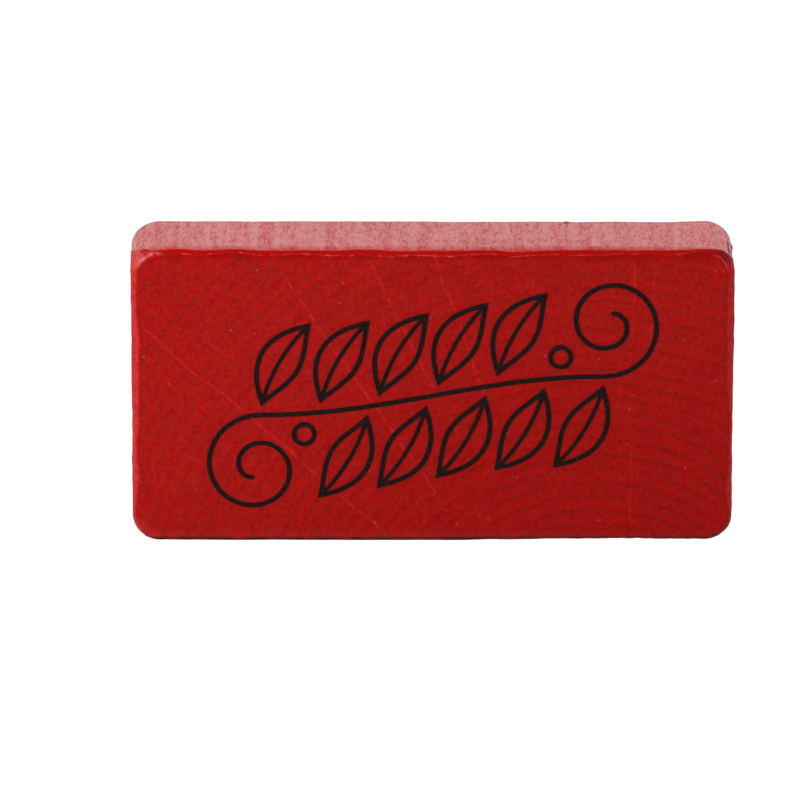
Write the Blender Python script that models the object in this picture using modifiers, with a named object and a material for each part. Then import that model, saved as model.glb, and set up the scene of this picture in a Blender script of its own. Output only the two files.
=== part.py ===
"""Wooden block of a picture game: a red slice of hardwood, lacquered on both faces and printed on one.

The block stands on a long edge. +X runs along it, the printed face looks along -Y and +Z is up. The
origin is under its middle, at the height of the edge it stands on. Lengths are in metres.
"""

import math

import bmesh
import bpy

MM = 0.001

# The slice of wood
LENGTH = 50.0 * MM
HEIGHT = 25.5 * MM
WOOD_THICKNESS = 8.1 * MM
CORNER_RADIUS = 2.2 * MM
EDGE_EASING = 0.6 * MM

# The lacquer on its two faces, which rolls over the eased edge and stops short of the sides
COAT_THICKNESS = 0.11 * MM
LIP_SETBACK = 0.05 * MM
SEAT_GAP = 0.02 * MM

# The print: a leafy stem with a curl at each end, the same after half a turn
INK_THICKNESS = 0.05 * MM
LINE_WIDTH = 0.40 * MM
RIB_WIDTH = 0.33 * MM
PRINT_END_MARGIN = 6.2 * MM
PRINT_EDGE_MARGIN = 2.95 * MM
INK_CLEARANCE = 0.55 * MM
STEM_RISE = 1.7 * MM
CURL_EYE_RADIUS = 0.9 * MM
CURL_TURN = math.radians(540)
LEAF_COUNT = 5
LEAF_LEAN = math.radians(60)
LEAF_BEND = math.radians(-32)
BERRY_DIAMETER = 2.1 * MM

# Facets
CORNER_SEGMENTS = 8
EASING_SEGMENTS = 5
STEM_STEPS = 14
CURL_STEPS = 48
LEAF_STEPS = 14
BERRY_STEPS = 24
CAP_STEPS = 6
SMOOTH_UP_TO = math.radians(40)

# Colours and finish
STAINED_WOOD = ("stained_wood", (0.42, 0.030, 0.026), 0.55)
RED_LACQUER = ("red_lacquer", (0.36, 0.012, 0.010), 0.22)
BLACK_INK = ("black_ink", (0.013, 0.010, 0.010), 0.40)


def clear_scene():
    for obj in list(bpy.data.objects):
        bpy.data.objects.remove(obj, do_unlink=True)


def make_material(name, colour, roughness):
    material = bpy.data.materials.new(name)
    material.use_nodes = True
    shader = material.node_tree.nodes["Principled BSDF"]
    shader.inputs["Base Color"].default_value = (*colour, 1.0)
    shader.inputs["Roughness"].default_value = roughness
    shader.inputs["Metallic"].default_value = 0.0
    return material


class Block:
    """The collection that holds the pieces, and the empty that carries them."""

    def __init__(self, name):
        self.collection = bpy.data.collections.new(name)
        bpy.context.scene.collection.children.link(self.collection)
        self.carrier = bpy.data.objects.new(name + "_origin", None)
        self.collection.objects.link(self.carrier)

    def add(self, name, data, material, place=(0.0, 0.0, 0.0), turn=(0.0, 0.0, 0.0)):
        data.materials.append(material)
        piece = bpy.data.objects.new(name, data)
        piece.location = place
        piece.rotation_euler = turn
        piece.parent = self.carrier
        self.collection.objects.link(piece)
        return piece


# The wood and its two coats

def eased_block(grow):
    """The slice as a bmesh about its own middle, with every surface moved out by grow."""
    bm = bmesh.new()
    bmesh.ops.create_cube(bm, size=1.0)
    size = (LENGTH + 2 * grow, WOOD_THICKNESS + 2 * grow, HEIGHT + 2 * grow)
    bmesh.ops.scale(bm, vec=size, verts=bm.verts)

    def round_over(edges, radius, segments):
        bmesh.ops.bevel(bm, geom=edges, offset=radius, offset_type="OFFSET", segments=segments,
                        profile=0.5, affect="EDGES", clamp_overlap=False)

    def across(edge):
        along = edge.verts[1].co - edge.verts[0].co
        return abs(along.y) > 0.5 * along.length

    round_over([e for e in bm.edges if across(e)], CORNER_RADIUS + grow, CORNER_SEGMENTS)
    round_over([e for e in bm.edges if not across(e)], EDGE_EASING + grow, EASING_SEGMENTS)
    return bm


def mesh_from(bm, name):
    mesh = bpy.data.meshes.new(name)
    bm.to_mesh(mesh)
    bm.free()
    mesh.shade_smooth()
    mesh.set_sharp_from_angle(angle=SMOOTH_UP_TO)
    return mesh


def add_wood(block):
    mesh = mesh_from(eased_block(0.0), "wood_block")
    block.add("wood_block", mesh, make_material(*STAINED_WOOD), place=(0.0, 0.0, HEIGHT / 2))


def lip_depth():
    """How far the coat's inner skin runs back round the eased edge before its outside reaches the sides."""
    skin_radius = EDGE_EASING + SEAT_GAP
    wrap = math.asin((EDGE_EASING - LIP_SETBACK) / (skin_radius + COAT_THICKNESS))
    return skin_radius * (1.0 - math.cos(wrap))


def add_coat(block, name, side, material):
    """A thin tray on one face: the block's own skin a seat gap out, cut at the lip and thickened outwards."""
    bm = eased_block(SEAT_GAP)
    lip_y = side * (WOOD_THICKNESS / 2 + SEAT_GAP - lip_depth())
    everything = bm.verts[:] + bm.edges[:] + bm.faces[:]
    bmesh.ops.bisect_plane(bm, geom=everything, plane_co=(0.0, lip_y, 0.0), plane_no=(0.0, side, 0.0),
                           clear_inner=True)
    coat = block.add(name, mesh_from(bm, name), material, place=(0.0, 0.0, HEIGHT / 2))
    shell = coat.modifiers.new("film", "SOLIDIFY")
    shell.thickness = COAT_THICKNESS
    shell.offset = 1.0
    shell.use_even_offset = True


# Flat outlines of the print, as (x, z) points about the middle of the face

def ribbon(path, width):
    """Outline of a line of this width along a path, with round ends."""
    half = width / 2
    headings = []
    for i in range(len(path)):
        before = path[max(i - 1, 0)]
        after = path[min(i + 1, len(path) - 1)]
        headings.append(math.atan2(after[1] - before[1], after[0] - before[0]))

    def beside(i, angle):
        return (path[i][0] + half * math.cos(angle), path[i][1] + half * math.sin(angle))

    quarter = math.pi / 2
    fan = [math.pi * k / CAP_STEPS for k in range(1, CAP_STEPS)]
    last = len(path) - 1
    outline = [beside(i, headings[i] + quarter) for i in range(len(path))]
    outline += [beside(last, headings[last] + quarter - a) for a in fan]
    outline += [beside(i, headings[i] - quarter) for i in range(last, -1, -1)]
    outline += [beside(0, headings[0] - quarter - a) for a in fan]
    return outline


def circle(centre, radius):
    angles = [2 * math.pi * k / BERRY_STEPS for k in range(BERRY_STEPS)]
    return [(centre[0] + radius * math.cos(a), centre[1] + radius * math.sin(a)) for a in angles]


def leaf_outlines(base, length, width):
    """A pointed leaf that bends along an arc: its edge, and the window on each side of its rib."""
    half_width = width / 2
    start = LEAF_LEAN - LEAF_BEND / 2
    arc_radius = length / LEAF_BEND
    tip_slope = half_width * math.pi / length

    def at(share, aside):
        heading = start + LEAF_BEND * share
        x = base[0] + arc_radius * (math.sin(heading) - math.sin(start)) - aside * math.sin(heading)
        z = base[1] - arc_radius * (math.cos(heading) - math.cos(start)) + aside * math.cos(heading)
        return (x, z)

    def edge(share):
        return half_width * math.sin(math.pi * share)

    def inside(share):
        return edge(share) - LINE_WIDTH * math.hypot(1.0, tip_slope * math.cos(math.pi * share))

    steps = [k / LEAF_STEPS for k in range(LEAF_STEPS + 1)]
    outline = [at(s, edge(s)) for s in steps] + [at(s, -edge(s)) for s in steps[-2:0:-1]]

    solid_tip = LINE_WIDTH * math.hypot(1.0, tip_slope) + RIB_WIDTH / 2
    first = math.asin(solid_tip / half_width) / math.pi
    shares = [first + (1.0 - 2 * first) * s for s in steps]
    windows = []
    for way in (1, -1):
        window = [at(s, way * inside(s)) for s in shares]
        window += [at(s, way * RIB_WIDTH / 2) for s in shares[-2:0:-1]]
        windows.append(window)
    return [outline, *windows]


def turned(outlines):
    """The same outlines after half a turn about the middle of the face."""
    return [[(-x, -z) for x, z in outline] for outline in outlines]


class Sprig:
    """Where the stem, its curls, the leaves and the berries lie in the field that the margins leave."""

    def __init__(self):
        half_line = LINE_WIDTH / 2
        half_field = LENGTH / 2 - PRINT_END_MARGIN
        self.half_height = HEIGHT / 2 - PRINT_EDGE_MARGIN
        # The curl's radius falls evenly with its turn, so half a turn from its start it is highest
        climb = self.half_height - half_line - STEM_RISE
        tightening = math.pi / CURL_TURN
        self.curl_radius = (climb - CURL_EYE_RADIUS * tightening) / (2.0 - tightening)
        shrink = (self.curl_radius - CURL_EYE_RADIUS) / CURL_TURN
        reach_out = self.curl_radius - shrink * (math.pi / 2 - 1.0)
        reach_back = self.curl_radius - shrink * (3 * math.pi / 2 + 1.0)
        self.stem_end = half_field - half_line - reach_out
        self.curl_inner_side = self.stem_end - reach_back - half_line

    def stem_height(self, x):
        return STEM_RISE * math.sin(math.pi / 2 * x / self.stem_end)

    def above_stem(self, x):
        return self.stem_height(x) + LINE_WIDTH / 2 + INK_CLEARANCE

    def stem_path(self):
        """The S of the stem from its middle to its right end and on round the curl, then the other half."""
        half = []
        for k in range(STEM_STEPS + 1):
            x = self.stem_end * k / STEM_STEPS
            half.append((x, self.stem_height(x)))
        step = CURL_TURN / CURL_STEPS
        for k in range(CURL_STEPS):
            share = (k + 0.5) / CURL_STEPS
            run = step * (self.curl_radius + (CURL_EYE_RADIUS - self.curl_radius) * share)
            heading = step * (k + 0.5)
            x, z = half[-1]
            half.append((x + run * math.cos(heading), z + run * math.sin(heading)))
        return [(-x, -z) for x, z in half[:0:-1]] + half

    def leaves(self):
        """Outlines of the leaves above the stem, side by side from its left end to where the berry stands."""
        climb = self.half_height - STEM_RISE - LINE_WIDTH / 2 - INK_CLEARANCE
        length = climb / math.sin(LEAF_LEAN)
        first = -self.stem_end
        last = self.curl_inner_side - BERRY_DIAMETER - length * math.cos(LEAF_LEAN)
        pitch = (last - first) / (LEAF_COUNT - 1)
        width = pitch * math.sin(LEAF_LEAN) - INK_CLEARANCE
        bases = [first + pitch * k for k in range(LEAF_COUNT)]
        return [leaf_outlines((x, self.above_stem(x)), length, width) for x in bases]

    def berry(self):
        """Ring between the last leaf and the right curl."""
        radius = BERRY_DIAMETER / 2
        x = self.curl_inner_side - radius
        centre = (x, self.above_stem(x) + radius)
        return [circle(centre, radius), circle(centre, radius - LINE_WIDTH)]


def add_ink(block, name, outlines, material):
    """One island of ink: a filled flat curve, stood up to face the front and seated on the front coat."""
    curve = bpy.data.curves.new(name, "CURVE")
    curve.dimensions = "2D"
    curve.fill_mode = "BOTH"
    curve.extrude = INK_THICKNESS / 2
    for outline in outlines:
        spline = curve.splines.new("POLY")
        spline.points.add(len(outline) - 1)
        for point, (x, z) in zip(spline.points, outline):
            point.co = (x, z, 0.0, 1.0)
        spline.use_cyclic_u = True
    face_y = -(WOOD_THICKNESS / 2 + SEAT_GAP + COAT_THICKNESS)
    place = (0.0, face_y - SEAT_GAP - INK_THICKNESS / 2, HEIGHT / 2)
    block.add(name, curve, material, place=place, turn=(math.pi / 2, 0.0, 0.0))


def add_print(block):
    material = make_material(*BLACK_INK)
    sprig = Sprig()
    add_ink(block, "ink_stem", [ribbon(sprig.stem_path(), LINE_WIDTH)], material)
    for number, outlines in enumerate(sprig.leaves(), start=1):
        add_ink(block, f"ink_leaf_upper_{number}", outlines, material)
        add_ink(block, f"ink_leaf_lower_{number}", turned(outlines), material)
    add_ink(block, "ink_berry_upper", sprig.berry(), material)
    add_ink(block, "ink_berry_lower", turned(sprig.berry()), material)


def main():
    clear_scene()
    block = Block("picture_block")
    add_wood(block)
    lacquer = make_material(*RED_LACQUER)
    add_coat(block, "front_coat", -1, lacquer)
    add_coat(block, "back_coat", 1, lacquer)
    add_print(block)


main()
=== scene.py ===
"""Looks of the wooden picture block: its grain, stain, lacquer, print and wear, and a studio round it.

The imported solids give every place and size. Meshes are worked out in millimetres and stored in metres.
The block stands on a long edge, its printed face looks along -Y, and +X is to the right of that face.
"""

import math

import bmesh
import bpy
from mathutils import Matrix, Vector, noise


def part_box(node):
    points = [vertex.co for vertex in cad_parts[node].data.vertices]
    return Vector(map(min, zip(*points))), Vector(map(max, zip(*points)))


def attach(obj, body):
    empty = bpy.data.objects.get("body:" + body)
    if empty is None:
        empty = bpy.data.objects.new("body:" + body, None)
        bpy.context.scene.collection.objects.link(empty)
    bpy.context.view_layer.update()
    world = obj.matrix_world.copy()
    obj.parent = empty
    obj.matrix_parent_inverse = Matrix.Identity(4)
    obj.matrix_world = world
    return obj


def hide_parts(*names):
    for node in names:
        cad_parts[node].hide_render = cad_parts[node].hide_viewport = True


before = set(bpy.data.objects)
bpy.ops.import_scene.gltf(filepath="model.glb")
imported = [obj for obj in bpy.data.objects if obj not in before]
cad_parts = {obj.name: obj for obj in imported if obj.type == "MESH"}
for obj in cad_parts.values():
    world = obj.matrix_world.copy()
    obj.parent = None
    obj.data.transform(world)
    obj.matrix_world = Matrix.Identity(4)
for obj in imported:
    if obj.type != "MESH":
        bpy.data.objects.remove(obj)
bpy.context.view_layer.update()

MM = 0.001
FRONT = -1
BACK = 1
LEFT = -1
RIGHT = 1


def box_mm(node):
    """The lowest and the highest corner of a solid, in millimetres."""
    low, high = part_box(node)
    return low / MM, high / MM


# Sizes of the solids, in millimetres
wood_low, wood_high = box_mm("wood_block")
LENGTH = wood_high.x - wood_low.x
HEIGHT = wood_high.z - wood_low.z
THICKNESS = wood_high.y - wood_low.y
CORNER_RADIUS = 2.2
COAT_FILM = 0.11
FACE_OUT = wood_low.y - box_mm("front_coat")[0].y
SEAT_GAP = FACE_OUT - COAT_FILM

# Eased edges: the easing in millimetres, how unevenly it is worn, and how much more at the corners
EDGE_EASING = {FRONT: 0.66, BACK: 0.26}
EASING_SPREAD = {FRONT: 0.76, BACK: 0.36}
EASING_WAVE = 3.4
CORNER_WEAR = 0.12

# The lip where a coat rolls over the easing: turns from the face, shares of the turn, of the film and of the
# way to the lip, and lengths in millimetres
LIP_TURN = {FRONT: math.radians(34), BACK: math.radians(12)}
LIP_TURN_BELOW = math.radians(45)
LIP_WANDER = 0.20
LIP_WANDER_WAVE = 3.4
LIP_NIBBLE = 0.12
LIP_NIBBLE_WAVE = 0.7
LIP_BEAD = 0.35
LIP_BEAD_GROWTH = 3
LIP_BLUNTNESS = 0.8
LIP_CLEARANCE = 0.035
LIP_RIPPLE = 0.010
LIP_RIPPLE_WAVE = 1.3
LIP_RIPPLE_START = 0.25
SHOULDER_TURN = math.radians(14)
SHOULDER_SPAN = math.radians(30)
SHOULDER_WANDER = 0.016
SHOULDER_WAVE = 1.0
FACE_MARGIN = 0.6
FACES_APART = 9.0

# The front coat laps far over the short ends: how far, and how late it starts round the upper corner
END_LAP = {LEFT: (6.8, 2.1), RIGHT: (4.9, 2.6)}
LAP_ENDS_BELOW = math.radians(65)
LAP_FILM = 0.045
LAP_WANDER = 0.14

# The sawn and sanded sides, in millimetres: they swell and ripple, and the short ends flare towards the back
SIDE_SWELL = 0.075
SIDE_SWELL_WAVE = 5.0
SIDE_RIPPLE = 0.018
SIDE_RIPPLE_WAVE = 1.0
SIDE_STRETCH = 2.0
END_RIPPLE = 0.022
END_FLARE = {LEFT: 0.16, RIGHT: 0.03}
TOP_FLARE = 0.7
TOP_FLARE_RISE = (HEIGHT - 6.5, HEIGHT - 1.5)
END_DRAW_IN = {LEFT: 0.065, RIGHT: 0.045}

# The lower edge, where the way out points down: more even than the rest, crisper along its left half and a
# little worn away along its right half
DOWNWARD = (0.3, 0.9)
WORN_HALF = (2.0, 9.0)
EVEN_BELOW = 0.65
CRISP_BELOW = 0.45
WORN_BELOW = 0.05
LOWER_SWELL = 0.4

# Seeds that set the waves of the shapes apart
EASING_SEED = 3.1
LIP_SEED = 2.0
NIBBLE_SEED = 4.0
SHOULDER_SEED = 8.0
FILM_SEED = 7.0
LAP_SEED = 6.0
SWELL_SEED = 1.0
RIPPLE_SEED = 5.0
INK_SEED = 11.0

# Facets
STATION_STEP = 0.17
CORNER_STEPS = 24
EASING_STEPS = 8
COAT_STEPS = 20
LAP_SHARE = 0.4
LIP_STEPS = 5
SIDE_STEPS = 38
SMOOTH_UP_TO = math.radians(50)

# Small dents on the wood, longer along the grain: (place on the block as x, y, z, then reach and depth)
DENTS = (
    ((24.62, -1.2, 24.56), 0.36, 0.14),
    ((24.60, 0.4, 24.58), 0.26, 0.10),
    ((24.97, 2.2, 23.75), 0.36, 0.12),
    ((24.93, 0.2, 23.90), 0.20, 0.07),
    ((-24.5, 2.9, 24.6), 0.30, 0.08),
    ((11.2, 3.7, 25.4), 0.40, 0.06),
    ((-25.0, 1.5, 6.0), 0.40, 0.08),
    ((25.0, 2.6, 3.0), 0.40, 0.10),
)
GRAIN_STRETCH = 3.2

# Ink, in millimetres; the solids that it follows are in metres
INK_STEP = 0.16
INK_WOBBLE = 0.022
INK_WOBBLE_WAVE = 0.35
INK_EDGE_ROUND = 0.012
INK_CORNER = math.radians(40)
INK_WELD = 1e-4
SOLID_WELD = 1e-6
FACING_FRONT = 0.9


# Mesh helpers

def make_piece(name, bm, material, slot, *nodes):
    """Makes an object of a bmesh in millimetres, riding on the block in place of these solids."""
    bmesh.ops.recalc_face_normals(bm, faces=bm.faces[:])
    mesh = bpy.data.meshes.new(name)
    bm.to_mesh(mesh)
    bm.free()
    mesh.transform(Matrix.Scale(MM, 4))
    mesh.shade_smooth()
    mesh.set_sharp_from_angle(angle=SMOOTH_UP_TO)
    mesh.materials.append(material)
    piece = bpy.data.objects.new(name, mesh)
    bpy.context.scene.collection.objects.link(piece)
    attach(piece, "root")
    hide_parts(*nodes)


def wave(point, length, seed):
    """Smooth noise from -1 to 1 that varies over about this length."""
    return noise.noise(Vector(point) / length + Vector((seed, 2.7 * seed, -1.3 * seed)))


def hump(share):
    """A smooth rise to 1 at zero that ends at -1 and 1."""
    return max(0.0, 1.0 - share * share) ** 2


def smooth_step(low, high, value):
    """A smooth step from 0 to 1 as the value goes from low to high."""
    share = min(1.0, max(0.0, (value - low) / (high - low)))
    return share * share * (3.0 - 2.0 * share)


# The outline of the block, and how it is worked by hand

class Station:
    """One point of the rounded outline, with the way out and the local rounding of the edge."""

    def __init__(self, x, z, angle):
        self.x = x
        self.z = z
        self.out_x = math.cos(angle)
        self.out_z = math.sin(angle)
        self.below = smooth_step(*DOWNWARD, -self.out_z)
        self.worn_below = self.below * smooth_step(*WORN_HALF, x)
        corner = abs(math.sin(2.0 * angle))
        uneven = (1.0 - EVEN_BELOW * self.below) * wave((x, 0.0, z), EASING_WAVE, EASING_SEED)
        self.easing = {}
        for side, easing in EDGE_EASING.items():
            self.easing[side] = easing * (1.0 + CORNER_WEAR * corner + EASING_SPREAD[side] * uneven)
        self.easing[FRONT] *= 1.0 - CRISP_BELOW * (self.below - self.worn_below)

    def end(self):
        """The short end that the point is nearer to."""
        return LEFT if self.x < 0.0 else RIGHT

    def lap(self):
        """How far the front coat goes on past the lip that it has along the top."""
        length, lateness = END_LAP[self.end()]
        if self.out_z >= 0.0:
            share = (math.asin(min(1.0, abs(self.out_x))) / (math.pi / 2)) ** lateness
        else:
            share = 1.0 - smooth_step(0.0, LAP_ENDS_BELOW, math.asin(min(1.0, -self.out_z)))
        wander = LAP_WANDER * wave((self.x, 0.0, self.z), LIP_WANDER_WAVE, LAP_SEED)
        return length * share * (1.0 + wander)

    def lip_turn(self, side):
        """How far a coat turns over the easing, apart from its lap."""
        if side == BACK:
            return LIP_TURN[BACK]
        return LIP_TURN[FRONT] + (LIP_TURN_BELOW - LIP_TURN[FRONT]) * smooth_step(0.0, 1.0, -self.out_z)

    def lip_limit(self, easing, radius):
        """The furthest turn at which a film with this outer radius stays clear of the floor."""
        if self.out_z >= 0.0:
            return math.inf
        reach = (easing - (self.z - LIP_CLEARANCE) / self.out_z) / radius
        return math.asin(reach) if reach < 1.0 else math.inf

    def at(self, inset, y):
        """The outline moved in by inset, at this depth, with the unevenness of a sawn and sanded side."""
        place = (self.x, y / SIDE_STRETCH, self.z)
        ripple = SIDE_RIPPLE + END_RIPPLE * self.out_x ** 2
        swell = SIDE_SWELL * wave(place, SIDE_SWELL_WAVE, SWELL_SEED)
        swell += ripple * wave(place, SIDE_RIPPLE_WAVE, RIPPLE_SEED)
        swell += self.below * (-LOWER_SWELL * abs(swell) - swell)
        flare = END_FLARE[self.end()] * (y / THICKNESS + 0.5)
        flare *= 1.0 + TOP_FLARE * smooth_step(*TOP_FLARE_RISE, self.z)
        flare -= END_DRAW_IN[self.end()]
        out = swell + flare * self.out_x ** 2 - inset - WORN_BELOW * self.worn_below
        return Vector((self.x + out * self.out_x, y, self.z + out * self.out_z))


def outline_stations():
    """Points all round the outline, from the upper right corner over the top to the left and on round."""
    stations = []
    half_run = LENGTH / 2 - CORNER_RADIUS
    half_rise = HEIGHT / 2 - CORNER_RADIUS
    corners = ((1, 1), (-1, 1), (-1, -1), (1, -1))
    for number, (right, up) in enumerate(corners):
        centre_x = right * half_run
        centre_z = HEIGHT / 2 + up * half_rise
        for k in range(CORNER_STEPS):
            angle = math.pi / 2 * (number + k / CORNER_STEPS)
            x = centre_x + CORNER_RADIUS * math.cos(angle)
            z = centre_z + CORNER_RADIUS * math.sin(angle)
            stations.append(Station(x, z, angle))
        angle = math.pi / 2 * (number + 1)
        along_x = -math.sin(angle)
        along_z = math.cos(angle)
        run = 2 * (half_run if number % 2 == 0 else half_rise)
        steps = math.ceil(run / STATION_STEP)
        start_x = centre_x + CORNER_RADIUS * math.cos(angle)
        start_z = centre_z + CORNER_RADIUS * math.sin(angle)
        for k in range(steps):
            gone = run * k / steps
            stations.append(Station(start_x + along_x * gone, start_z + along_z * gone, angle))
    return stations


def loft(rings):
    """A closed bmesh through rings of points, with a flat face over the first and the last."""
    bm = bmesh.new()
    rows = [[bm.verts.new(point) for point in ring] for ring in rings]
    count = len(rows[0])
    for near, far in zip(rows, rows[1:]):
        for k in range(count):
            bm.faces.new((near[k], near[(k + 1) % count], far[(k + 1) % count], far[k]))
    bm.faces.new(rows[0])
    bm.faces.new(rows[-1])
    return bm


def eased_edge(e, side):
    """Points round the wood's eased edge, from its face to its side."""
    points = []
    for k in range(EASING_STEPS + 1):
        turn = math.pi / 2 * k / EASING_STEPS
        points.append((e * (1.0 - math.sin(turn)), side * (THICKNESS / 2 - e * (1.0 - math.cos(turn)))))
    return points


def wood_profile(station):
    """Points across the wood at a station, from the front face's edge over the side to the back's."""
    points = eased_edge(station.easing[FRONT], FRONT)
    far = eased_edge(station.easing[BACK], BACK)[::-1]
    near_y = points[-1][1]
    far_y = far[0][1]
    for k in range(1, SIDE_STEPS):
        points.append((0.0, near_y + (far_y - near_y) * k / SIDE_STEPS))
    return [station.at(inset, y) for inset, y in points + far]


def dent(bm):
    """Presses the small dents into a bmesh of the wood."""
    bm.normal_update()
    for place, reach, depth in DENTS:
        centre = Vector(place)
        for vert in bm.verts:
            apart = vert.co - centre
            apart.y /= GRAIN_STRETCH
            if apart.length < reach:
                vert.co -= vert.normal * depth * hump(apart.length / reach)


def coat_profile(station, side):
    """Points across a coat at a station: over its outside to the rolled lip, then back along its inside."""
    e = station.easing[side]
    inner = e + SEAT_GAP
    where = (station.x, FACES_APART * side, station.z)
    lap = station.lap() if side == FRONT else 0.0
    bead = COAT_FILM * (1.0 + LIP_BEAD)
    end_film = bead + (LAP_FILM - bead) * min(1.0, lap)
    uneven = LIP_WANDER * wave(where, LIP_WANDER_WAVE, LIP_SEED)
    uneven += LIP_NIBBLE * wave(where, LIP_NIBBLE_WAVE, NIBBLE_SEED)
    lip = station.lip_turn(side) * (1.0 + uneven) + lap / inner
    lip = min(lip, station.lip_limit(e, inner + end_film))
    round_part = min(lip, math.pi / 2)
    straight_part = lip - round_part
    bend_share = 1.0 - LAP_SHARE * min(1.0, straight_part)
    ridge = SHOULDER_WANDER * wave(where, SHOULDER_WAVE, SHOULDER_SEED)
    points = [(e + FACE_MARGIN, FACE_OUT)]

    def turn_at(share):
        if share <= bend_share:
            return round_part * share / bend_share
        return round_part + straight_part * (share - bend_share) / (1.0 - bend_share)

    def across(turn, radius):
        bend = min(turn, math.pi / 2)
        along = (turn - bend) * inner
        points.append((e - radius * math.sin(bend), radius * math.cos(bend) - e - along))

    for k in range(COAT_STEPS + 1):
        share = k / COAT_STEPS
        turn = turn_at(share)
        film = COAT_FILM + (end_film - COAT_FILM) * share ** LIP_BEAD_GROWTH
        film += ridge * hump((turn - SHOULDER_TURN) / SHOULDER_SPAN)
        ripple = wave((station.x, share, station.z), LIP_RIPPLE_WAVE, FILM_SEED + side)
        film += LIP_RIPPLE * min(1.0, share / LIP_RIPPLE_START) * ripple
        across(turn, inner + film)
    for k in range(1, LIP_STEPS):
        roll = math.pi * k / LIP_STEPS
        radius = inner + end_film / 2 * (1.0 + math.cos(roll))
        across(lip + end_film / 2 / inner * math.sin(roll) * LIP_BLUNTNESS, radius)
    for k in range(COAT_STEPS + 1):
        across(turn_at(1.0 - k / COAT_STEPS), inner)
    points.append((e + FACE_MARGIN, SEAT_GAP))
    return [station.at(inset, side * (THICKNESS / 2 + out)) for inset, out in points]


def across_stations(stations, profile, *extra):
    """The profile at every station, regrouped as rings round the block."""
    sections = [profile(station, *extra) for station in stations]
    return [list(ring) for ring in zip(*sections)]


# The print, redrawn from the solids' own outlines with an edge that a screen print has

def front_loops(node):
    """Outlines of a node's front face, as closed lists of (x, z) in millimetres."""
    bm = bmesh.new()
    bm.from_mesh(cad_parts[node].data)
    bmesh.ops.remove_doubles(bm, verts=bm.verts[:], dist=SOLID_WELD)
    bm.normal_update()
    front = [face for face in bm.faces if face.normal.y < -FACING_FRONT]
    within = set(front)
    following = {}
    for face in front:
        for loop in face.loops:
            if not any(other in within for other in loop.edge.link_faces if other is not face):
                following[loop.vert] = loop.link_loop_next.vert
    loops = []
    while following:
        vert = next(iter(following))
        points = []
        while vert in following:
            points.append((vert.co.x / MM, vert.co.z / MM))
            vert = following.pop(vert)
        loops.append(points)
    bm.free()
    return loops


def smoothed(points):
    """A closed outline with points close together, rounded between its corners."""
    here = [Vector(p) for p in points]
    count = len(here)

    def is_corner(i):
        into = here[i] - here[i - 1]
        out = here[(i + 1) % count] - here[i]
        return abs(into.angle_signed(out, 0.0)) > INK_CORNER

    corner = [is_corner(i) for i in range(count)]
    fine = []
    for i in range(count):
        j = (i + 1) % count
        a, b = here[i], here[j]
        before = a if corner[i] else here[i - 1]
        after = b if corner[j] else here[(j + 1) % count]
        lead = 0.5 * (b - before)
        trail = 0.5 * (after - a)
        steps = max(1, round((b - a).length / INK_STEP))
        for k in range(steps):
            t = k / steps
            s = t * t * (3 - 2 * t)
            point = a + (b - a) * s + lead * (t * (1 - t) ** 2) - trail * (t * t * (1 - t))
            fine.append(point)
    return fine


def rough_edge(points):
    """The outline pushed in and out a little, as ink creeps on a varnished face."""
    count = len(points)
    rough = []
    for i, point in enumerate(points):
        along = points[(i + 1) % count] - points[i - 1]
        if along.length > 0.0:
            along.normalize()
        shift = INK_WOBBLE * wave((point.x, 0.0, point.y), INK_WOBBLE_WAVE, INK_SEED)
        rough.append((point.x - along.y * shift, point.y + along.x * shift))
    return rough


def print_piece(node, material):
    """Makes one island of ink with softly rounded edges, in place of its solid."""
    low, high = box_mm(node)
    curve = bpy.data.curves.new(node, "CURVE")
    curve.dimensions = "2D"
    curve.fill_mode = "BOTH"
    curve.extrude = (high.y - low.y) / 2 - INK_EDGE_ROUND
    curve.bevel_depth = INK_EDGE_ROUND
    curve.bevel_resolution = 1
    curve.offset = -INK_EDGE_ROUND
    for loop in front_loops(node):
        outline = rough_edge(smoothed(loop))
        spline = curve.splines.new("POLY")
        spline.points.add(len(outline) - 1)
        for point, (x, z) in zip(spline.points, outline):
            point.co = (x, z, 0.0, 1.0)
        spline.use_cyclic_u = True
    flat = bpy.data.objects.new(node + "_outline", curve)
    bpy.context.scene.collection.objects.link(flat)
    bpy.context.view_layer.update()
    mesh = bpy.data.meshes.new_from_object(flat.evaluated_get(bpy.context.evaluated_depsgraph_get()))
    bpy.data.objects.remove(flat)
    bpy.data.curves.remove(curve)
    bm = bmesh.new()
    bm.from_mesh(mesh)
    bpy.data.meshes.remove(mesh)
    bmesh.ops.remove_doubles(bm, verts=bm.verts[:], dist=INK_WELD)
    stand_up = Matrix.Translation((0.0, (low.y + high.y) / 2, 0.0)) @ Matrix.Rotation(math.pi / 2, 4, "X")
    bmesh.ops.transform(bm, matrix=stand_up, verts=bm.verts)
    make_piece("printed_" + node.removeprefix("ink_"), bm, material, "black_ink", node)


# Materials

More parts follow.
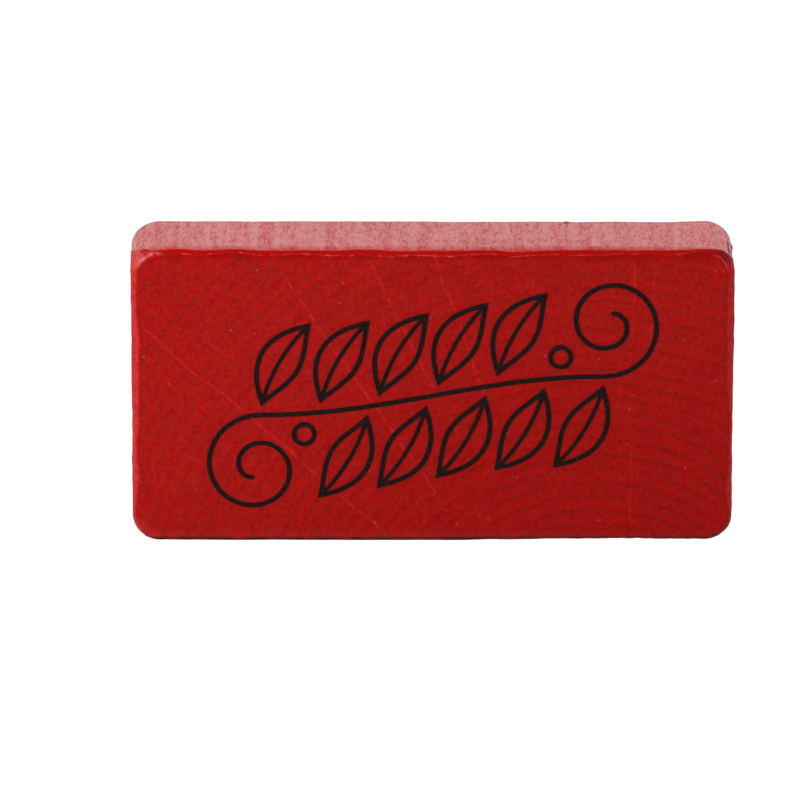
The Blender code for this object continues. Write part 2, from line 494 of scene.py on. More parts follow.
class Graph:
    """A material's nodes, with short calls for what the materials here need."""

    def __init__(self, name):
        self.material = bpy.data.materials.new(name)
        self.material.use_nodes = True
        self.tree = self.material.node_tree
        self.shader = self.tree.nodes["Principled BSDF"]
        self.output = self.tree.nodes["Material Output"]

    def node(self, kind, *values, out=0, **settings):
        """An output of a new node with these settings, its first inputs fed with these values."""
        made = self.tree.nodes.new(kind)
        for key, value in settings.items():
            setattr(made, key, value)
        for socket, value in zip(made.inputs, values):
            self.feed(socket, value)
        return made.outputs[out]

    def feed(self, socket, value):
        """Links a socket to an input, or sets the input to a plain value."""
        if isinstance(value, bpy.types.NodeSocket):
            self.tree.links.new(value, socket)
        else:
            socket.default_value = value

    def set(self, **values):
        """Feeds the shader's inputs; an underscore stands for a space in their names."""
        for key, value in values.items():
            self.feed(self.shader.inputs[key.replace("_", " ")], value)

    def math(self, operation, *values):
        return self.node("ShaderNodeMath", *values, operation=operation)

    def times(self, product, *factors):
        for factor in factors:
            product = self.math("MULTIPLY", product, factor)
        return product

    def plus(self, total, *values):
        for value in values:
            total = self.math("ADD", total, value)
        return total

    def minus(self, first, second):
        return self.math("SUBTRACT", first, second)

    def most(self, first, second):
        return self.math("MAXIMUM", first, second)

    def vector(self, operation, *values):
        return self.node("ShaderNodeVectorMath", *values, operation=operation)

    def measure(self, operation, *values):
        """A vector operation whose result is a number."""
        return self.node("ShaderNodeVectorMath", *values, operation=operation, out=1)

    def place(self):
        """Where a point is on the block, in millimetres."""
        where = self.node("ShaderNodeTexCoord", out=3)
        return self.vector("MULTIPLY", where, (1 / MM, 1 / MM, 1 / MM))

    def noise(self, where, scale, detail, stretch=(1.0, 1.0, 1.0)):
        """Noise from 0 to 1, with this many features to a millimetre."""
        made = self.tree.nodes.new("ShaderNodeTexNoise")
        self.feed(made.inputs["Vector"], self.vector("MULTIPLY", where, stretch))
        made.inputs["Scale"].default_value = scale
        made.inputs["Detail"].default_value = detail
        return made.outputs[0]

    def centred(self, value, span):
        """A number from 0 to 1 turned into one that spans this much round zero."""
        return self.times(self.minus(value, 0.5), span)

    def parts(self, vector):
        split = self.tree.nodes.new("ShaderNodeSeparateXYZ")
        self.feed(split.inputs[0], vector)
        return split.outputs[:]

    def ramp(self, value, low, high, start=0.0, end=1.0):
        """A smooth step from start to end as the value goes from low to high."""
        made = self.tree.nodes.new("ShaderNodeMapRange")
        made.interpolation_type = "SMOOTHSTEP"
        for socket, given in zip(made.inputs, (value, low, high, start, end)):
            self.feed(socket, given)
        return made.outputs[0]

    def mix(self, share, first, second, how="MIX"):
        """The first colour with this share of the second."""
        made = self.tree.nodes.new("ShaderNodeMix")
        made.data_type = "RGBA"
        made.blend_type = how
        self.feed(made.inputs[0], share)
        for socket, colour in zip((made.inputs[6], made.inputs[7]), (first, second)):
            self.feed(socket, colour if isinstance(colour, bpy.types.NodeSocket) else (*colour, 1.0))
        return made.outputs[2]

    def bump(self, height, distance, strength=1.0):
        """A surface raised by this height times this distance in millimetres."""
        made = self.tree.nodes.new("ShaderNodeBump")
        made.inputs["Strength"].default_value = strength
        made.inputs["Distance"].default_value = distance * MM
        self.feed(made.inputs["Height"], height)
        return made.outputs[0]


# Colours, as linear red, green and blue
STAIN = (0.51, 0.062, 0.059)
STAIN_PALE = (0.56, 0.150, 0.146)
STAIN_DARK = (0.43, 0.024, 0.022)
CHIPPED = (0.130, 0.014, 0.013)
LACQUER = (0.495, 0.0016, 0.0010)
LACQUER_DARK = (0.296, 0.0018, 0.0010)
LACQUER_PALE = (0.545, 0.0016, 0.0010)
LACQUER_THIN = (0.39, 0.0017, 0.0010)
LACQUER_SHADED_AND_STAINED = (0.160, 0.0034, 0.0090)
HAZE = (0.0, 0.0128, 0.0103)
LAP_FADED = (0.56, 0.100, 0.096)
RUBBED_AND_HIGHLIGHT = (0.68, 0.034, 0.032)
DULLED_AND_SHADED = (0.17, 0.024, 0.022)
SCUFFED_HIGHLIGHT = (0.72, 0.150, 0.170)
CREST_HIGHLIGHT = (0.88, 0.056, 0.056)
DUSTED = (0.36, 0.040, 0.038)
SCRATCH = (0.80, 0.028, 0.026)
NICKED = (0.70, 0.110, 0.108)
SHADE_AND_GRIME = (0.026, 0.007, 0.007)
INK = (0.0070, 0.0034, 0.0031)
INK_PALE = (0.024, 0.015, 0.014)

# In the values for the looks, each name that ends in STEP or FADE is a smooth step: the low and the high end
# of what it reads, then the results at those ends, which are 0 and 1 where they are left out.

# Grain, with lengths in millimetres: the growth rings run round a pith below the block, the fibres along Y
PITH = (13.5, 0.0, -11.3)
RING_PERIOD = 1.2
RING_SPREAD = 0.7
RING_DRIFT = 0.04
RING_SWAY_SPAN = 1.2
RING_SHAKE_SPAN = 0.34
RINGS_APART = 3.7
DASH_STEP = (0.36, 0.62)
LATE_STEP = (0.36, 0.86)
LINE_STEP = (0.60, 0.87)
RING_END_STEP = (0.88, 1.0, 1.0, 0.0)
HEART_FADE = (13.5, 39.5, 1.0, 0.0)

# Textures of the grain: features to a millimetre, levels of detail, and a stretch of x, y, z where it has one
RING_SWAY = (0.10, 2.0)
RING_SHAKE = (0.9, 3.0)
RING_GROWTH = (0.3, 2.0)
RING_DASHES = (0.5, 3.0)
GRIT = (4.0, 3.0)
SPECKLE = (2.6, 5.0)
MOTTLE = (0.65, 3.0)
CLOUD = (2.2, 3.0, (1.0, 0.30, 1.0))
STREAK = (0.9, 4.0, (1.0, 0.03, 1.0))
FIBRE = (3.2, 3.0, (1.0, 0.07, 1.0))
PORE = (6.0, 2.0, (1.0, 0.20, 1.0))


class Grain:
    """Growth rings round the pith, fibres along Y, pores and mottle, as numbers from 0 to 1."""

    def __init__(self, g):
        self.place = g.place()
        self.x, self.y, self.z = g.parts(self.place)
        from_pith = g.vector("MULTIPLY", g.vector("SUBTRACT", self.place, PITH), (1.0, RING_DRIFT, 1.0))
        sway = g.centred(g.noise(self.place, *RING_SWAY), RING_SWAY_SPAN)
        shake = g.centred(g.noise(self.place, *RING_SHAKE), RING_SHAKE_SPAN)
        radius = g.plus(g.measure("LENGTH", from_pith), sway, shake)
        growth = g.noise(g.node("ShaderNodeCombineXYZ", radius, 0.0, 0.0), *RING_GROWTH)
        turns = g.plus(g.math("DIVIDE", radius, RING_PERIOD), g.centred(growth, RING_SPREAD))
        share = g.math("FRACT", turns)
        across, deep, up = g.parts(from_pith)
        around = g.times(g.math("ARCTAN2", up, across), radius)
        number = g.times(g.math("FLOOR", turns), RINGS_APART)
        lane = g.node("ShaderNodeCombineXYZ", around, number, deep)
        dashes = g.ramp(g.noise(lane, *RING_DASHES), *DASH_STEP)
        ending = g.ramp(share, *RING_END_STEP)
        self.late = g.times(g.ramp(share, *LATE_STEP), ending)
        self.ring = g.times(g.ramp(share, *LINE_STEP), ending, dashes)
        self.heart = g.ramp(radius, *HEART_FADE)
        self.grit = g.noise(self.place, *GRIT)
        self.speckle = g.noise(self.place, *SPECKLE)
        self.mottle = g.noise(self.place, *MOTTLE)
        self.cloud = g.noise(self.place, *CLOUD)
        self.streak = g.noise(self.place, *STREAK)
        self.fibre = g.noise(self.place, *FIBRE)
        self.pore = g.noise(self.place, *PORE)


# Painted contact shade and grime along the edge that the block stands on
SHADE_AND_GRIME_HEIGHT_FADE = (0.10, 0.50, 1.0, 0.0)
SHADE_AND_GRIME_BREAK_STEP = (0.34, 0.60, 0.35, 0.9)


def near_floor(g, grain, colour):
    """The colour with a broken dark line along the edge that the block stands on: painted contact shade, with
    some grime.
    """
    line = g.times(g.ramp(grain.z, *SHADE_AND_GRIME_HEIGHT_FADE), g.ramp(grain.mottle, *SHADE_AND_GRIME_BREAK_STEP))
    return g.mix(line, colour, SHADE_AND_GRIME)


# The wood: streaked bands, fainter to the right, that hold more pores and less of the pale colour
STREAK_STEP = (0.38, 0.62, -0.5, 0.5)
STREAK_FADE = (-12.0, 10.0, 1.0, 0.5)
BAND_PORES = 0.16
CLOUD_PORES = 0.40
FLECK_STEP = (0.44, 0.74)
FLECK_SHARE = 0.75
FIBRE_STEP = (0.30, 0.70, 0.35, 0.75)
GRIT_PALE = 0.5
BAND_DARK = 0.6
CLOUD_DARK = 1.7
WOOD_ROUGHNESS = 0.40
FLECK_ROUGHNESS = 0.25
WOOD_RELIEF = 0.035
GRIT_HEIGHT = 0.7
FIBRE_HEIGHT = 0.5
WOOD_SPECULAR = 0.40

# Lacquer that crept over the wood next to the coats, further at the left end, and the chips at the dents
CREEP_REACH_STEP = (0.2 - LENGTH / 2, 1.6 - LENGTH / 2, 2.0, 0.70)
CREEP_START = 0.10
CREEP_WANDER = 0.3
CREEP_SHARE = 0.6
CHIP_TEAR = 0.6
CHIP_CORE = 0.35
CHIP_SHARE = 0.85


def chips(g, grain):
    """Where the wood is chipped at its dents, torn along the grain."""
    along_grain = (1.0, 1.0 / GRAIN_STRETCH, 1.0)
    drawn_in = g.vector("MULTIPLY", grain.place, along_grain)
    rough = g.plus(grain.fibre, g.minus(grain.grit, 0.5))
    chipped = 0.0
    for place, reach, _ in DENTS:
        apart = g.measure("DISTANCE", drawn_in, Vector(place) * Vector(along_grain))
        torn = g.plus(apart, g.centred(rough, CHIP_TEAR))
        chipped = g.most(chipped, g.ramp(torn, CHIP_CORE * reach, reach, CHIP_SHARE, 0.0))
    return chipped


def stained_wood():
    """Satin red stain on sanded side grain, with streaks, open pores, crept lacquer, chips, and painted
    contact shade with grime.
    """
    g = Graph("stained_wood")
    grain = Grain(g)
    band = g.times(g.ramp(grain.streak, *STREAK_STEP), g.ramp(grain.x, *STREAK_FADE))
    crowd = g.plus(g.times(band, BAND_PORES), g.centred(grain.cloud, CLOUD_PORES))
    fleck = g.ramp(g.plus(grain.pore, crowd), *FLECK_STEP)
    pale = g.plus(g.ramp(grain.fibre, *FIBRE_STEP), g.centred(grain.grit, GRIT_PALE))
    pale = g.minus(pale, g.times(band, BAND_DARK))
    pale = g.minus(pale, g.centred(grain.cloud, CLOUD_DARK))
    colour = g.mix(g.node("ShaderNodeClamp", pale, 0.0, 1.0), STAIN, STAIN_PALE)
    colour = g.mix(g.times(fleck, FLECK_SHARE), colour, STAIN_DARK)
    below_face = g.minus(THICKNESS / 2, g.math("ABSOLUTE", grain.y))
    below_face = g.minus(below_face, g.centred(grain.mottle, CREEP_WANDER))
    creep_end = g.ramp(grain.x, *CREEP_REACH_STEP)
    colour = g.mix(g.ramp(below_face, CREEP_START, creep_end, CREEP_SHARE, 0.0), colour, LACQUER_THIN)
    chipped = chips(g, grain)
    # Painted contact shade and grime along the standing edge
    colour = near_floor(g, grain, g.mix(chipped, colour, CHIPPED))
    height = g.minus(g.times(grain.grit, GRIT_HEIGHT), fleck)
    height = g.plus(height, g.times(grain.fibre, FIBRE_HEIGHT))
    dull = g.most(g.plus(WOOD_ROUGHNESS, g.times(fleck, FLECK_ROUGHNESS)), chipped)
    g.set(Base_Color=colour, Roughness=dull, Normal=g.bump(height, WOOD_RELIEF))
    g.set(Specular_IOR_Level=WOOD_SPECULAR)
    return g.material


# Marks on the front face are soft-edged: this share of their reach has their full strength
MARK_CORE = 0.3

# Scratches, each as its strength and the points that it runs through, as x, z
SCRATCH_WIDTH = 0.17
SCRATCH_DRIFT = (0.22, 1.0)
SCRATCH_DRIFT_SPAN = 0.5
SCRATCH_BREAKS = (1.4, 3.0)
SCRATCH_BREAK_STEP = (0.36, 0.64, 0.10, 0.85)
SCRATCHES = (
    (0.46, (-23.8, 18.4), (-13.7, 9.5), (-3.7, 0.4)),
    (0.44, (-12.3, 23.1), (-10.2, 19.7), (-5.9, 13.5), (-2.6, 8.7), (1.2, 2.7)),
    (0.42, (-5.4, 24.9), (-3.7, 21.3), (0.0, 13.6)),
    (0.36, (0.2, 25.0), (1.2, 22.0), (4.3, 13.2)),
    (0.32, (1.2, 11.4), (2.2, 9.1)),
    (0.32, (3.6, 3.4), (4.0, 2.2)),
    (0.20, (-19.1, 17.8), (-17.0, 16.1)),
    (0.22, (-16.6, 4.4), (-13.5, 2.7)),
    (0.22, (-21.2, 8.0), (-19.6, 6.8)),
    (0.22, (-10.4, 9.6), (-9.2, 8.3)),
    (0.34, (16.8, 24.4), (16.6, 18.0)),
    (0.24, (16.6, 8.9), (16.5, 1.9)),
    (0.26, (18.4, 24.2), (18.1, 17.2)),
    (0.26, (14.5, 24.4), (14.4, 22.6)),
    (0.20, (8.4, 24.2), (8.3, 22.3)),
    (0.18, (17.1, 6.7), (17.0, 3.5)),
)

# Spots, each with its place as x, z, its reach and its strength; those at corners are on the lip alone
# Rubs at the lower left corner, partly painted highlight of the light from the left
RUBS_AND_HIGHLIGHTS = (((-24.6, 1.1), 1.2, 0.60), ((-23.4, 0.2), 1.0, 0.55), ((-21.6, 0.0), 0.9, 0.40))
RUB_AND_HIGHLIGHT_STEP = (0.25, 0.6)
# Dark spots low on the right of the face
DARK_SPOTS = (((16.7, 0.75), 0.75, 0.6), ((18.1, 0.95), 0.55, 0.6), ((21.4, 0.10), 0.65, 1.0))
DARK_SPOT_STEP = (0.40, 0.65)
# Darker upper right lip: painted shade, with some stain
DARK_CORNER = ((24.20, 24.86), 1.05, 0.8)
DARK_CORNER_STEP = (0.01, 0.05)
PALE_CORNER = ((-24.5, 24.5), 1.5, 0.8)
PALE_CORNER_STEP = (0.02, 0.10)
# Darker, duller lower right lip: dulled lacquer with painted shade
SHADED_DULL_CORNER = ((24.4, 0.7), 2.6, 0.75)
SHADED_DULL_CORNER_STEP = (0.0, 0.10)
SHADED_DULL_SPECKLE_STEP = (0.36, 0.60, 0.35, 1.0)

# Painted highlight dashes along the crest where the flat meets the upper lip, standing in for its glints: in
# places, less to the right, and not at the left end
CREST_START_STEP = (0.003, 0.008)
CREST_END_STEP = (0.012, 0.030, 1.0, 0.0)
CREST_HEIGHT_STEP = (HEIGHT - 1.2, HEIGHT - 1.0)
CREST_PLACES = (1.1, 3.0, (1.0, 0.0, 0.0))
CREST_PLACES_STEP = (0.48, 0.68)
CREST_LEFT_STEP = (3.0 - LENGTH / 2, 4.0 - LENGTH / 2, 0.0, 0.9)
CREST_RIGHT_FADE = (0.0, 12.0, 1.0, 0.3)

# Dust on the lowest millimetre of the face
DUST_HEIGHT_FADE = (0.35, 1.15, 0.26, 0.0)
DUST_SPECKLE_STEP = (0.30, 0.60, 0.5, 1.0)

# Scuffed arcs round the upper corners, partly painted highlight where glints run round the corners'
# shoulders: radius, turn of the middle, width, reach along the arc, strength
SCUFF_HIGHLIGHTS = {
    LEFT: (1.70, math.radians(120), 0.22, 1.7, 0.80),
    RIGHT: (1.74, math.radians(42), 0.075, 1.2, 1.0),
}
SCUFF_HIGHLIGHT_FRAY = 1.6
SCUFF_HIGHLIGHT_RAGS = (2.4, 3.0)
SCUFF_HIGHLIGHT_RAGS_STEP = (0.38, 0.60, 0.15, 1.0)

# Small pale nicks: how many to a millimetre, the share of places without one, size, outline and strength
NICK_CELLS = 0.42
NICK_GAPS = 0.45
NICK_SIZE = 0.15
NICK_JAG = 0.35
NICK_STRENGTH_STEP = (0.0, 1.0, 0.08, 0.46)


def scratch_mark(g, flat, start, end, strength):
    """This strength on the line from start to end on the face, 0 away from it."""
    first = Vector((start[0], 0.0, start[1]))
    run = Vector((end[0], 0.0, end[1])) - first
    way = run.normalized()
    offset = g.vector("SUBTRACT", flat, first)
    gone = g.node("ShaderNodeClamp", g.measure("DOT_PRODUCT", offset, way), 0.0, run.length)
    foot = g.tree.nodes.new("ShaderNodeVectorMath")
    foot.operation = "SCALE"
    foot.inputs[0].default_value = way
    g.feed(foot.inputs["Scale"], gone)
    apart = g.measure("LENGTH", g.vector("SUBTRACT", offset, foot.outputs[0]))
    return g.ramp(apart, MARK_CORE * SCRATCH_WIDTH, SCRATCH_WIDTH, strength, 0.0)


def scratches(g, grain, flat):
    """All the scratches, slightly bent and broken up."""
    drift = g.centred(g.noise(grain.place, *SCRATCH_DRIFT), SCRATCH_DRIFT_SPAN)
    bent = g.vector("ADD", flat, g.node("ShaderNodeCombineXYZ", drift, 0.0, drift))
    marks = 0.0
    for strength, *points in SCRATCHES:
        for start, end in zip(points, points[1:]):
            marks = g.most(marks, scratch_mark(g, bent, start, end, strength))
    return g.times(marks, g.ramp(g.noise(grain.place, *SCRATCH_BREAKS), *SCRATCH_BREAK_STEP))


def spot(g, flat, place, reach, strength):
    """A soft round spot on the face, as strong as this in its middle."""
    apart = g.measure("DISTANCE", flat, (place[0], 0.0, place[1]))
    return g.ramp(apart, MARK_CORE * reach, reach, strength, 0.0)


def crest_highlights(g, grain, drop):
    """The painted highlight dashes along the crest of the upper lip."""
    places = g.noise(grain.place, *CREST_PLACES)
    crest = g.times(g.ramp(drop, *CREST_START_STEP), g.ramp(drop, *CREST_END_STEP))
    crest = g.times(crest, g.ramp(grain.z, *CREST_HEIGHT_STEP), g.ramp(places, *CREST_PLACES_STEP))
    return g.times(crest, g.ramp(grain.x, *CREST_LEFT_STEP), g.ramp(grain.x, *CREST_RIGHT_FADE))


def scuff_highlight(g, grain, flat, ragged, end):
    """The scuffed arc round the upper corner at this end, partly a painted highlight."""
    radius, turn, width, reach, strength = SCUFF_HIGHLIGHTS[end]
    centre = Vector((end * (LENGTH / 2 - CORNER_RADIUS), 0.0, HEIGHT - CORNER_RADIUS))
    middle = centre + Vector((math.cos(turn), 0.0, math.sin(turn))) * radius
    off = g.math("ABSOLUTE", g.minus(g.measure("DISTANCE", flat, centre), radius))
    off = g.plus(off, g.centred(grain.speckle, SCUFF_HIGHLIGHT_FRAY * width))
    along = spot(g, flat, (middle.x, middle.z), reach, strength)
    return g.times(along, ragged, g.ramp(off, 0.0, width, 1.0, 0.0))


def nicks(g, grain):
    """The small nicks, scattered over the face."""
    cells = g.tree.nodes.new("ShaderNodeTexVoronoi")
    cells.voronoi_dimensions = "2D"
    cells.inputs["Scale"].default_value = NICK_CELLS
    jagged = g.plus(grain.z, g.centred(grain.grit, NICK_JAG))
    g.feed(cells.inputs["Vector"], g.node("ShaderNodeCombineXYZ", grain.x, jagged, 0.0))
    chance, strength, _ = g.parts(cells.outputs["Color"])
    size = g.ramp(chance, NICK_GAPS, 1.0, 0.0, NICK_SIZE * NICK_CELLS)
    nick = g.ramp(cells.outputs["Distance"], g.times(size, MARK_CORE), size, 1.0, 0.0)
    return g.times(nick, g.ramp(strength, *NICK_STRENGTH_STEP))


def face_wear_and_painted_light(g, grain, drop, colour):
    """The colour with the front's scratches, dark spots, rubs and scuffs that are partly painted highlight,
    corners darkened partly with painted shade, a pale corner, painted highlight dashes on the crest, dust and
    nicks.
    """
    flat = g.vector("MULTIPLY", grain.place, (1.0, 0.0, 1.0))
    colour = g.mix(scratches(g, grain, flat), colour, SCRATCH)
    # Rubs at the lower left, partly painted highlight
    for rub_and_highlight in RUBS_AND_HIGHLIGHTS:
        colour = g.mix(g.times(spot(g, flat, *rub_and_highlight), g.ramp(grain.grit, *RUB_AND_HIGHLIGHT_STEP)), colour, RUBBED_AND_HIGHLIGHT)
    # Dark spots low on the right of the face
    for stain in DARK_SPOTS:
        colour = g.mix(g.times(spot(g, flat, *stain), g.ramp(grain.grit, *DARK_SPOT_STEP)), colour, SHADE_AND_GRIME)
    # Darker patch on the upper right lip: painted shade, with some stain
    patch = g.times(spot(g, flat, *DARK_CORNER), g.ramp(drop, *DARK_CORNER_STEP))
    colour = g.mix(patch, colour, LACQUER_SHADED_AND_STAINED)
    # Painted highlight dashes along the crest of the upper lip
    colour = g.mix(crest_highlights(g, grain, drop), colour, CREST_HIGHLIGHT)
    low = g.times(g.ramp(grain.z, *DUST_HEIGHT_FADE), g.ramp(grain.speckle, *DUST_SPECKLE_STEP))
    colour = g.mix(low, colour, DUSTED)
    # Darker, duller lower right lip: dulled lacquer with painted shade
    patch = g.times(spot(g, flat, *SHADED_DULL_CORNER), g.ramp(drop, *SHADED_DULL_CORNER_STEP))
    colour = g.mix(g.times(patch, g.ramp(grain.speckle, *SHADED_DULL_SPECKLE_STEP)), colour, DULLED_AND_SHADED)
    ragged = g.ramp(g.noise(grain.place, *SCUFF_HIGHLIGHT_RAGS), *SCUFF_HIGHLIGHT_RAGS_STEP)
    patch = g.times(spot(g, flat, *PALE_CORNER), g.ramp(drop, *PALE_CORNER_STEP))
    colour = g.mix(g.times(patch, ragged), colour, LAP_FADED)
    # Scuffed arcs round the upper corners, partly painted highlight
    for end in SCUFF_HIGHLIGHTS:
        colour = g.mix(scuff_highlight(g, grain, flat, ragged, end), colour, SCUFFED_HIGHLIGHT)
    return g.mix(nicks(g, grain), colour, NICKED)


# The lacquer: the flat of a face ends where the film drops away, and has haze that the upper lip lacks
FLAT_FADE = (0.001, 0.014, 1.0, 0.0)
MOTTLE_DARK_STEP = (0.34, 0.66, 0.0, 0.65)
GRIT_DARK_STEP = (0.33, 0.67, 0.0, 0.85)
HAZE_SIDES_FADE = (HEIGHT - 2.0, HEIGHT - 0.9, 0.7, 0.0)
HAZE_TOP_FADE = (HEIGHT - 1.2, HEIGHT - 0.66, 1.0, 0.2)
HAZE_SPECKLE_STEP = (0.24, 0.76, 0.08, 0.92)
HAZE_HEART_STEP = (0.0, 1.0, 1.0, 0.74)
PALE_SHARE = 0.3
HEART_DARK = 0.18
LATE_DARK = 0.30
RING_DARK = 0.32
RING_DARK_HEART = 0.64
CLEAN_LIP_STEP = (HEIGHT - 2.0, HEIGHT - 0.9, 0.0, 0.55)

# The lacquer's short ends: rubbed round the edge, with painted highlight in the rubbing at the left end, and
# faded further back
RUBBED_AND_LIT_LEFT_FADE = (0.5 - LENGTH / 2, 1.0 - LENGTH / 2, 1.0, 0.0)
RUBBED_RIGHT_STEP = (LENGTH / 2 - 1.0, LENGTH / 2 - 0.5, 0.0, 0.55)
RUBBED_AND_LIT_SPECKLE_STEP = (0.36, 0.62, 0.5, 1.0)
RUBBED_AND_LIT_DROP_STEP = (0.01, 0.12)
FADED_DROP_STEP = (0.5, 2.5, 0.0, 0.75)
FADED_GRIT_STEP = (0.30, 0.60, 0.35, 1.0)

# The lacquer's gloss and relief: satin on the flat, glossy on the lip, dull further back
FLAT_ROUGHNESS = 0.23
DULL_DROP_STEP = (0.25, 0.65, 0.0, 0.75)
LIP_ROUGHNESS_STEP = (0.3, 0.7, 0.07, 0.11)
LACQUER_WAVES = (1.1, 2.0)
LACQUER_RELIEF = 0.02
LACQUER_BUMP = 0.5
RING_HEIGHT = -0.3
LACQUER_SPECULAR = 0.050


def red_lacquer(name, face_marks):
    """Red lacquer over end grain, hazy on the flat, glossier on the lip, with rubbing and fading at the ends,
    and painted highlight in the rubbing at the left end.
    """
    g = Graph(name)
    grain = Grain(g)
    drop = g.minus(THICKNESS / 2 + FACE_OUT, g.math("ABSOLUTE", grain.y))
    flat = g.ramp(drop, *FLAT_FADE)
    colour = g.mix(g.ramp(grain.mottle, *MOTTLE_DARK_STEP), LACQUER, LACQUER_DARK)
    colour = g.mix(g.ramp(grain.grit, *GRIT_DARK_STEP), colour, LACQUER_DARK)
    hazy = g.most(flat, g.ramp(grain.z, *HAZE_SIDES_FADE))
    hazy = g.times(hazy, g.ramp(grain.z, *HAZE_TOP_FADE))
    colour = g.mix(g.times(hazy, PALE_SHARE), colour, LACQUER_PALE)
    colour = g.mix(g.times(grain.heart, HEART_DARK), colour, LACQUER_DARK)
    colour = g.mix(g.times(grain.late, LATE_DARK), colour, LACQUER_DARK)
    ring_dark = g.plus(RING_DARK, g.times(grain.heart, RING_DARK_HEART))
    colour = g.mix(g.times(grain.ring, ring_dark), colour, LACQUER_DARK)
    thick = g.times(g.ramp(grain.speckle, *HAZE_SPECKLE_STEP), g.ramp(grain.heart, *HAZE_HEART_STEP))
    colour = g.mix(g.times(thick, hazy), colour, HAZE, "ADD")
    clean = g.times(g.minus(1.0, flat), g.ramp(grain.z, *CLEAN_LIP_STEP))
    colour = g.mix(clean, colour, LACQUER)
    # Rubbed colour round the ends, partly painted highlight at the left end
    at_ends = g.plus(g.ramp(grain.x, *RUBBED_AND_LIT_LEFT_FADE), g.ramp(grain.x, *RUBBED_RIGHT_STEP))
    rubbed_and_lit = g.times(at_ends, g.ramp(grain.speckle, *RUBBED_AND_LIT_SPECKLE_STEP), g.ramp(drop, *RUBBED_AND_LIT_DROP_STEP))
    colour = g.mix(rubbed_and_lit, colour, RUBBED_AND_HIGHLIGHT)
    faded = g.times(g.ramp(drop, *FADED_DROP_STEP), g.ramp(grain.grit, *FADED_GRIT_STEP))
    colour = g.mix(faded, colour, LAP_FADED)
    if face_marks:
        colour = face_wear_and_painted_light(g, grain, drop, colour)
    # Painted contact shade and grime along the standing edge
    colour = near_floor(g, grain, colour)
    dull = g.plus(g.times(flat, FLAT_ROUGHNESS), g.ramp(drop, *DULL_DROP_STEP))
    dull = g.plus(dull, g.ramp(grain.mottle, *LIP_ROUGHNESS_STEP))
    height = g.plus(g.times(grain.ring, RING_HEIGHT), g.noise(grain.place, *LACQUER_WAVES))
    g.set(Base_Color=colour, Roughness=dull, Normal=g.bump(height, LACQUER_RELIEF, LACQUER_BUMP))
    g.set(Specular_IOR_Level=LACQUER_SPECULAR)
    return g.material


# The ink: thin spots, pinholes, relief in millimetres and gloss
INK_PALE_STEP = (0.40, 0.78)
PINHOLES = (4.2, 1.0)
PINHOLE_STEP = (0.73, 0.78)
PINHOLE_SHARE = 0.6
INK_RELIEF = 0.008
INK_BUMP = 0.5
INK_ROUGHNESS = 0.42
INK_SPECULAR = 0.05


def black_ink():
    """Screen-print ink: nearly black, thin in spots, with a few pinholes that show the red."""
    g = Graph("black_ink")
    grain = Grain(g)
    colour = g.mix(g.ramp(grain.grit, *INK_PALE_STEP), INK, INK_PALE)
    pinhole = g.ramp(g.noise(grain.place, *PINHOLES), *PINHOLE_STEP)
    colour = g.mix(g.times(pinhole, PINHOLE_SHARE), colour, LACQUER_DARK)
    g.set(Base_Color=colour, Roughness=INK_ROUGHNESS, Normal=g.bump(grain.grit, INK_RELIEF, INK_BUMP))
    g.set(Specular_IOR_Level=INK_SPECULAR)
    return g.material


# The block

stations = outline_stations()
wood = loft(across_stations(stations, wood_profile))
dent(wood)
make_piece("wood_slice", wood, stained_wood(), "stained_wood", "wood_block")
front = loft(across_stations(stations, coat_profile, FRONT))
make_piece("front_lacquer", front, red_lacquer("front_red_lacquer", True), "red_lacquer", "front_coat")
back = loft(across_stations(stations, coat_profile, BACK))
make_piece("back_lacquer", back, red_lacquer("back_red_lacquer", False), "red_lacquer", "back_coat")
ink = black_ink()
for node in sorted(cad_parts):
    if node.startswith("ink_"):
        print_piece(node, ink)


# The studio, with lengths in metres

FLOOR_SIZE = 3.0
FLOOR_DROP = 0.01 * MM
FLOOR_COLOUR = (0.42, 0.42, 0.42)
FLOOR_ROUGHNESS = 0.9
FLOOR_GLOW = 0.80
FLOOR_GLOW_STRENGTH = 1.24
SKY_SEEN = 1.0
SKY_LIGHT = 0.36
WHITE = (1.0, 1.0, 1.0, 1.0)

# Lamps: place, width and height, watts, and whether glossy surfaces mirror them
LAMP_AIM = (0.0, 0.0, 0.012)
LAMPS = {
    "key": ((-0.12, -0.12, 0.09), 0.09, 0.09, 0.182, True),
    "top": ((0.0, 0.05, 0.50), 0.30, 0.30, 0.75, True),
    "fill": ((0.30, -0.10, 0.12), 0.16, 0.16, 0.21, True),
    "rear": ((0.05, 0.50, 0.10), 0.30, 0.20, 1.0, False),
    "front": ((0.0, -0.60, 0.050), 0.05, 0.06, 0.08, True),
    "front_left": ((-0.17, -0.575, 0.050), 0.06, 0.06, 0.10, True),
    "front_right": ((0.225, -0.557, 0.055), 0.04, 0.04, 0.10, True),
}

# Camera, from the block's outline in the picture
PICTURE = 800
FOCAL_PIXELS = 7400
CAMERA_DISTANCE = 0.620
CAMERA_ELEVATION = math.radians(17.5)
AIM_HEIGHT = 0.0125
AIM_PIXEL = (432.2, 383.3)
SENSOR_MM = 36.0


def seen_directly(tree):
    """1 for rays from the camera, mirrors and glass, and 0 for light that falls on things."""
    path = tree.nodes.new("ShaderNodeLightPath")
    total = path.outputs["Is Camera Ray"]
    for name in ("Is Glossy Ray", "Is Transmission Ray"):
        largest = tree.nodes.new("ShaderNodeMath")
        largest.operation = "MAXIMUM"
        tree.links.new(total, largest.inputs[0])
        tree.links.new(path.outputs[name], largest.inputs[1])
        total = largest.outputs[0]
    return total


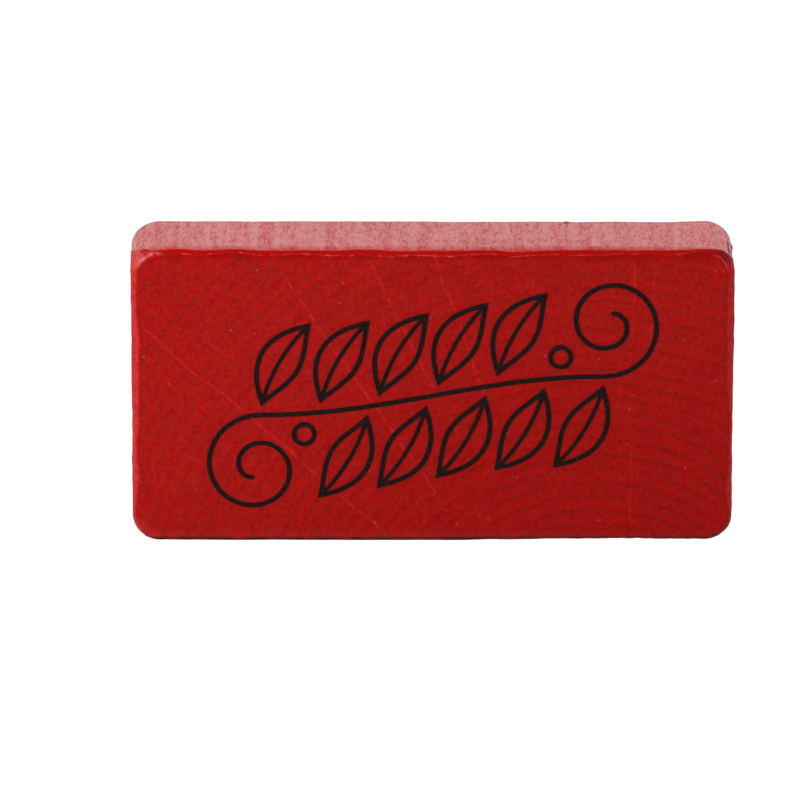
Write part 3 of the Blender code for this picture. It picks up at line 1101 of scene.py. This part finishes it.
def make_floor():
    """A pale floor that looks white and still takes the block's shadow."""
    bm = bmesh.new()
    bmesh.ops.create_grid(bm, x_segments=1, y_segments=1, size=FLOOR_SIZE / 2)
    mesh = bpy.data.meshes.new("floor")
    bm.to_mesh(mesh)
    bm.free()
    floor = bpy.data.objects.new("floor", mesh)
    floor.location.z = -FLOOR_DROP
    bpy.context.scene.collection.objects.link(floor)
    g = Graph("pale_floor")
    g.set(Base_Color=(*FLOOR_COLOUR, 1.0), Roughness=FLOOR_ROUGHNESS, Specular_IOR_Level=0.0)
    glow = g.node("ShaderNodeEmission", WHITE, FLOOR_GLOW_STRENGTH)
    share = g.times(seen_directly(g.tree), FLOOR_GLOW)
    surface = g.node("ShaderNodeMixShader", share, g.shader.outputs[0], glow)
    g.tree.links.new(surface, g.output.inputs["Surface"])
    mesh.materials.append(g.material)


def make_sky():
    """A world that looks white and lights the block softly."""
    world = bpy.data.worlds.new("studio")
    world.use_nodes = True
    bpy.context.scene.world = world
    tree = world.node_tree
    strength = tree.nodes.new("ShaderNodeMapRange")
    tree.links.new(seen_directly(tree), strength.inputs["Value"])
    strength.inputs["To Min"].default_value = SKY_LIGHT
    strength.inputs["To Max"].default_value = SKY_SEEN
    background = tree.nodes["Background"]
    background.inputs["Color"].default_value = WHITE
    tree.links.new(strength.outputs[0], background.inputs["Strength"])


def make_lamp(name, place, width, height, watts, mirrored):
    """A soft lamp at this place that looks at the block."""
    light = bpy.data.lights.new(name, "AREA")
    light.shape = "RECTANGLE"
    light.size = width
    light.size_y = height
    light.energy = watts
    lamp = bpy.data.objects.new(name, light)
    lamp.location = place
    lamp.rotation_euler = (Vector(LAMP_AIM) - Vector(place)).to_track_quat("-Z", "Y").to_euler()
    lamp.visible_camera = False
    lamp.visible_glossy = mirrored
    bpy.context.scene.collection.objects.link(lamp)


def make_camera():
    """A camera that sees the block where the picture has it."""
    camera = bpy.data.cameras.new("camera")
    camera.sensor_width = SENSOR_MM
    camera.lens = FOCAL_PIXELS / PICTURE * SENSOR_MM
    eye = bpy.data.objects.new("camera", camera)
    backwards = Vector((0.0, -math.cos(CAMERA_ELEVATION), math.sin(CAMERA_ELEVATION)))
    up = Vector((0.0, math.sin(CAMERA_ELEVATION), math.cos(CAMERA_ELEVATION)))
    aim = Vector((0.0, 0.0, AIM_HEIGHT))
    eye.location = aim + backwards * CAMERA_DISTANCE
    per_pixel = CAMERA_DISTANCE / FOCAL_PIXELS
    middle = PICTURE / 2
    to_right = Vector((middle - AIM_PIXEL[0], 0.0, 0.0)) * per_pixel
    to_top = up * (AIM_PIXEL[1] - middle) * per_pixel
    centre = aim + to_right + to_top
    eye.rotation_euler = (centre - eye.location).to_track_quat("-Z", "Y").to_euler()
    bpy.context.scene.collection.objects.link(eye)
    bpy.context.scene.camera = eye


make_floor()
make_sky()
for name, settings in LAMPS.items():
    make_lamp(name, *settings)
make_camera()
bpy.context.scene.view_settings.view_transform = "Standard"
